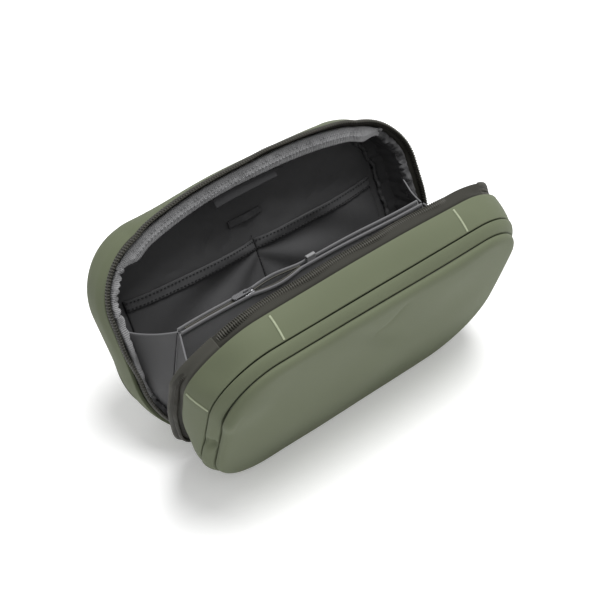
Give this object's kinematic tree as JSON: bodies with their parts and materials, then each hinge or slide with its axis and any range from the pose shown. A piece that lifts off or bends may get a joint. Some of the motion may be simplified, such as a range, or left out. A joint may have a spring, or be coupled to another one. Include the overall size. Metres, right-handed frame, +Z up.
{
  "type": "cable organizer pouch",
  "caption": "Soft two-sided travel pouch that opens like a book on a fabric hinge, with a coil zip, padded shell, pockets and a zipped divider inside.",
  "frame": {"origin": "centre of the footprint, on the table it stands on", "axes": "+X along the hinge, -Y out of the front half, +Z up; the pouch is open"},
  "size_m": [0.235, 0.163, 0.1361],
  "materials": {
    "shell_wall": "matt coated fabric",
    "shell_edge": "matt coated fabric",
    "shell_panel": "matt coated fabric",
    "foam": "closed foam",
    "lining": "woven nylon",
    "zip_tape": "woven tape",
    "zip_coil": "moulded nylon",
    "zip_stop": "painted",
    "knit_hem": "ribbed knit",
    "pocket": "stretch fabric",
    "divider_fabric": "woven nylon",
    "board": "smooth",
    "binding": "ribbed tape",
    "webbing": "woven webbing",
    "label": "woven, plain",
    "bartack": "raised thread",
    "slider_metal": "black paint",
    "pull": "black paint"
  },
  "bodies": {
    "back_half": {"back_wall": "shell_wall", "back_edge_band": "shell_edge", "back_panel": "shell_panel", "back_foam": "foam", "back_lining": "lining", "back_zip_tape": "zip_tape", "back_zip_coil": "zip_coil", "back_zip_stops": "zip_stop", "back_top_flange": "knit_hem", "back_hem_left": "knit_hem", "back_hem_right": "knit_hem", "key_loop": "webbing", "label_tab": "label", "back_pocket_left": "pocket", "back_pocket_hem_left": "knit_hem", "back_pocket_right": "pocket", "back_pocket_hem_right": "knit_hem", "hinge_strip": "shell_wall", "zip_end_tab_left": "zip_tape", "zip_end_tab_right": "zip_tape", "wing_back_left": "lining", "wing_back_right": "lining", "wing_front_left": "lining", "wing_front_right": "lining"},
    "front_half": {"front_wall": "shell_wall", "front_edge_band": "shell_edge", "front_panel": "shell_panel", "front_foam": "foam", "front_lining": "lining", "front_zip_tape": "zip_tape", "front_zip_coil": "zip_coil", "front_zip_stops": "zip_stop", "front_top_flange": "knit_hem", "front_hem_left": "knit_hem", "front_hem_right": "knit_hem", "wall_bartacks": "bartack"},
    "divider": {"divider_front_panel": "divider_fabric", "divider_board": "board", "divider_back_panel": "divider_fabric", "divider_front_binding": "binding", "divider_back_binding": "binding", "divider_zip_coil": "zip_coil", "divider_tab": "webbing"},
    "divider_slider": {"divider_slider": "slider_metal"},
    "divider_pull": {"divider_pull": "pull"},
    "main_slider": {"main_slider": "slider_metal"},
    "main_pull": {"main_pull": "pull"}
  },
  "joints": [
    {"name": "divider_hinge", "type": "hinge", "parent": "back_half", "child": "divider", "pos_m": [0, -0.00565, 0.00724], "axis": [-1, 0, 0], "range_deg": [0, 21.9], "deforming": ["hinge_strip", "zip_end_tab_left", "zip_end_tab_right", "wing_back_left", "wing_back_right"]},
    {"name": "front_half_hinge", "type": "hinge", "parent": "divider", "child": "front_half", "pos_m": [0, -0.00565, 0.00724], "axis": [-1, 0, 0], "range_deg": [0, 21.9], "deforming": ["wing_front_left", "wing_front_right", "front_zip_tape"]},
    {"name": "main_slider_travel", "type": "hinge", "parent": "back_half", "child": "main_slider", "pos_m": [0.0635, 0.01545, 0.05695], "axis": [0, -0.9205, 0.3907], "range_deg": [0, 46]},
    {"name": "main_pull_swing", "type": "hinge", "parent": "main_slider", "child": "main_pull", "pos_m": [0.09657, -0.0017, 0.01655], "axis": [0, -0.9205, 0.3907], "range_deg": [-45, 115]},
    {"name": "divider_slider_travel", "type": "slide", "parent": "divider", "child": "divider_slider", "axis": [1, 0, 0], "range_m": [-0.04, 0.03]},
    {"name": "divider_pull_swing", "type": "hinge", "parent": "divider_slider", "child": "divider_pull", "pos_m": [-0.043, -0.00383, 0.10187], "axis": [0, 0.9998, -0.0192], "range_deg": [0, 170]}
  ],
  "couplings": [
    {"joint": "front_half_hinge", "follows": "divider_hinge", "ratio": 1}
  ]
}
